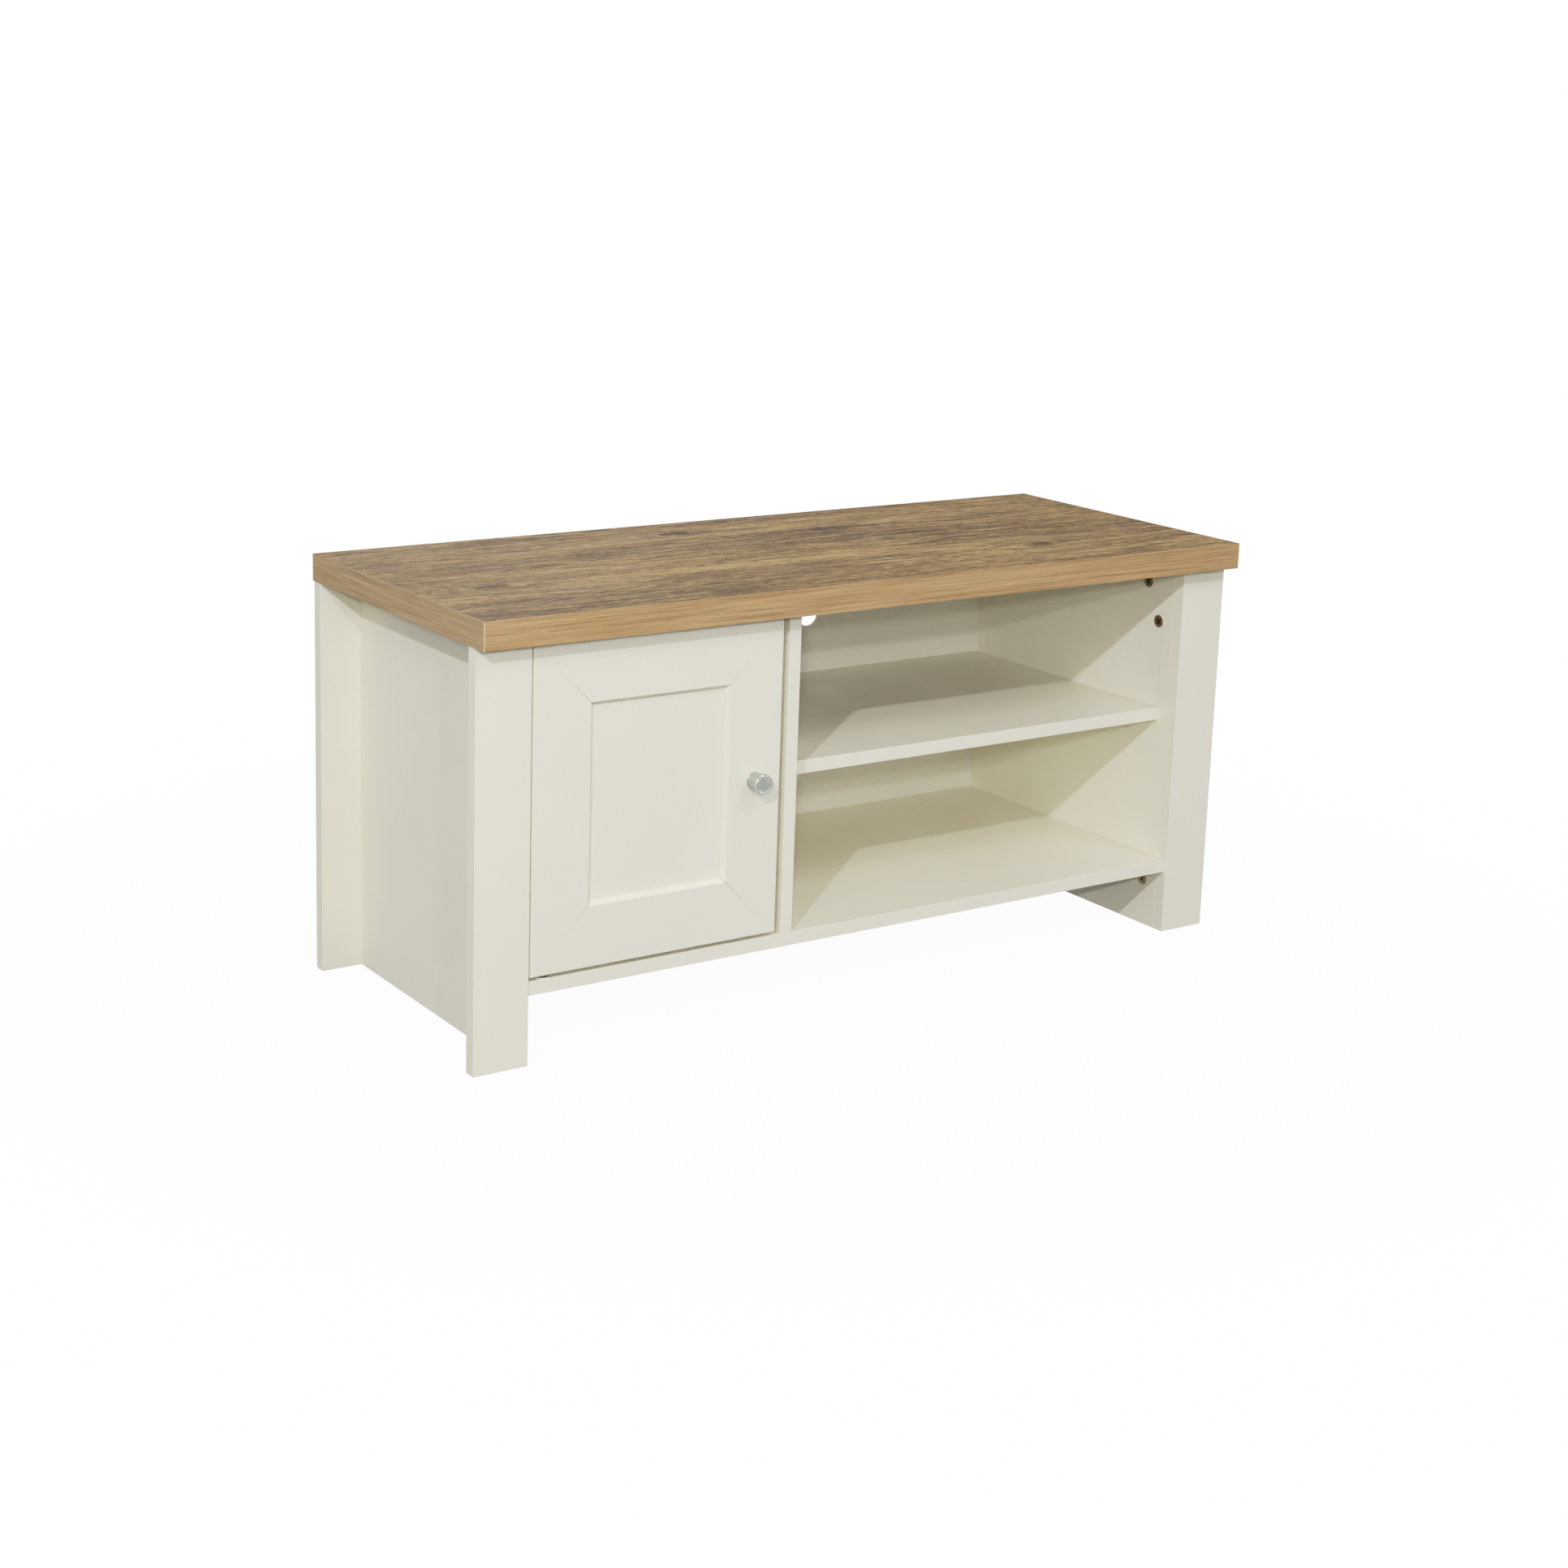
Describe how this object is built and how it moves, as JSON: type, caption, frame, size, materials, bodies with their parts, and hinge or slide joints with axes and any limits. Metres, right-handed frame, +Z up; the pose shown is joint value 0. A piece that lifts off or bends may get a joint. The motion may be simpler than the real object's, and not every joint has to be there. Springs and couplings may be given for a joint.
{
  "type": "tv stand with door",
  "caption": "Low television stand with a wood-effect top, flat board legs, a framed inset cupboard door with a round knob, and open bays with a shelf.",
  "frame": {"origin": "on the floor, under the middle of the stand's outer box", "axes": "+Z up, +X along the width to the right seen from the front, front faces -Y"},
  "size_m": [1, 0.398, 0.474],
  "materials": {
    "oak_top": "matt oak-effect foil with a streaked grain",
    "oak_band": "matt oak-effect edge band with a fine straight grain",
    "cream_board": "smooth cream foil, matt",
    "cream_door": "smooth cream foil, matt",
    "back_board": "thin hardboard, cream-faced",
    "beech": "plain beech",
    "knob_metal": "satin chrome",
    "bright_steel": "zinc-plated steel",
    "bronze_cam": "dark bronze-plated zinc",
    "white_plastic": "moulded nylon",
    "magnet_block": "dark magnet with steel pole plates"
  },
  "bodies": {
    "carcass": {"top_panel": "oak_top", "top_band_front": "oak_band", "top_band_rear": "oak_band", "top_band_left": "oak_band", "top_band_right": "oak_band", "leg_front_left": "cream_board", "leg_front_right": "cream_board", "leg_rear_left": "cream_board", "leg_rear_right": "cream_board", "side_panel_left": "cream_board", "side_panel_right": "cream_board", "bottom_panel": "cream_board", "divider": "cream_board", "shelf": "cream_board", "back_panel": "back_board", "pivot_bush_top": "white_plastic", "pivot_bush_bottom": "white_plastic", "catch_housing": "white_plastic", "catch_magnet": "magnet_block", "catch_screws": "bright_steel", "cam_locks": "bronze_cam", "cam_bolts": "bright_steel", "dowels": "beech", "back_nails": "bright_steel"},
    "door": {"door_stile_left": "cream_door", "door_stile_right": "cream_door", "door_rail_top": "cream_door", "door_rail_bottom": "cream_door", "door_centre_panel": "cream_door", "door_corner_dowels": "beech", "knob": "knob_metal", "knob_screw": "bright_steel", "pivot_pin_top": "bright_steel", "pivot_pin_bottom": "bright_steel", "strike_plate": "bright_steel", "strike_screw": "bright_steel"}
  },
  "joints": [
    {"name": "door_pivot", "type": "hinge", "parent": "carcass", "child": "door", "pos_m": [-0.4145, -0.168, 0.26725], "axis": [0, 0, -1], "range_deg": [0, 110]}
  ]
}
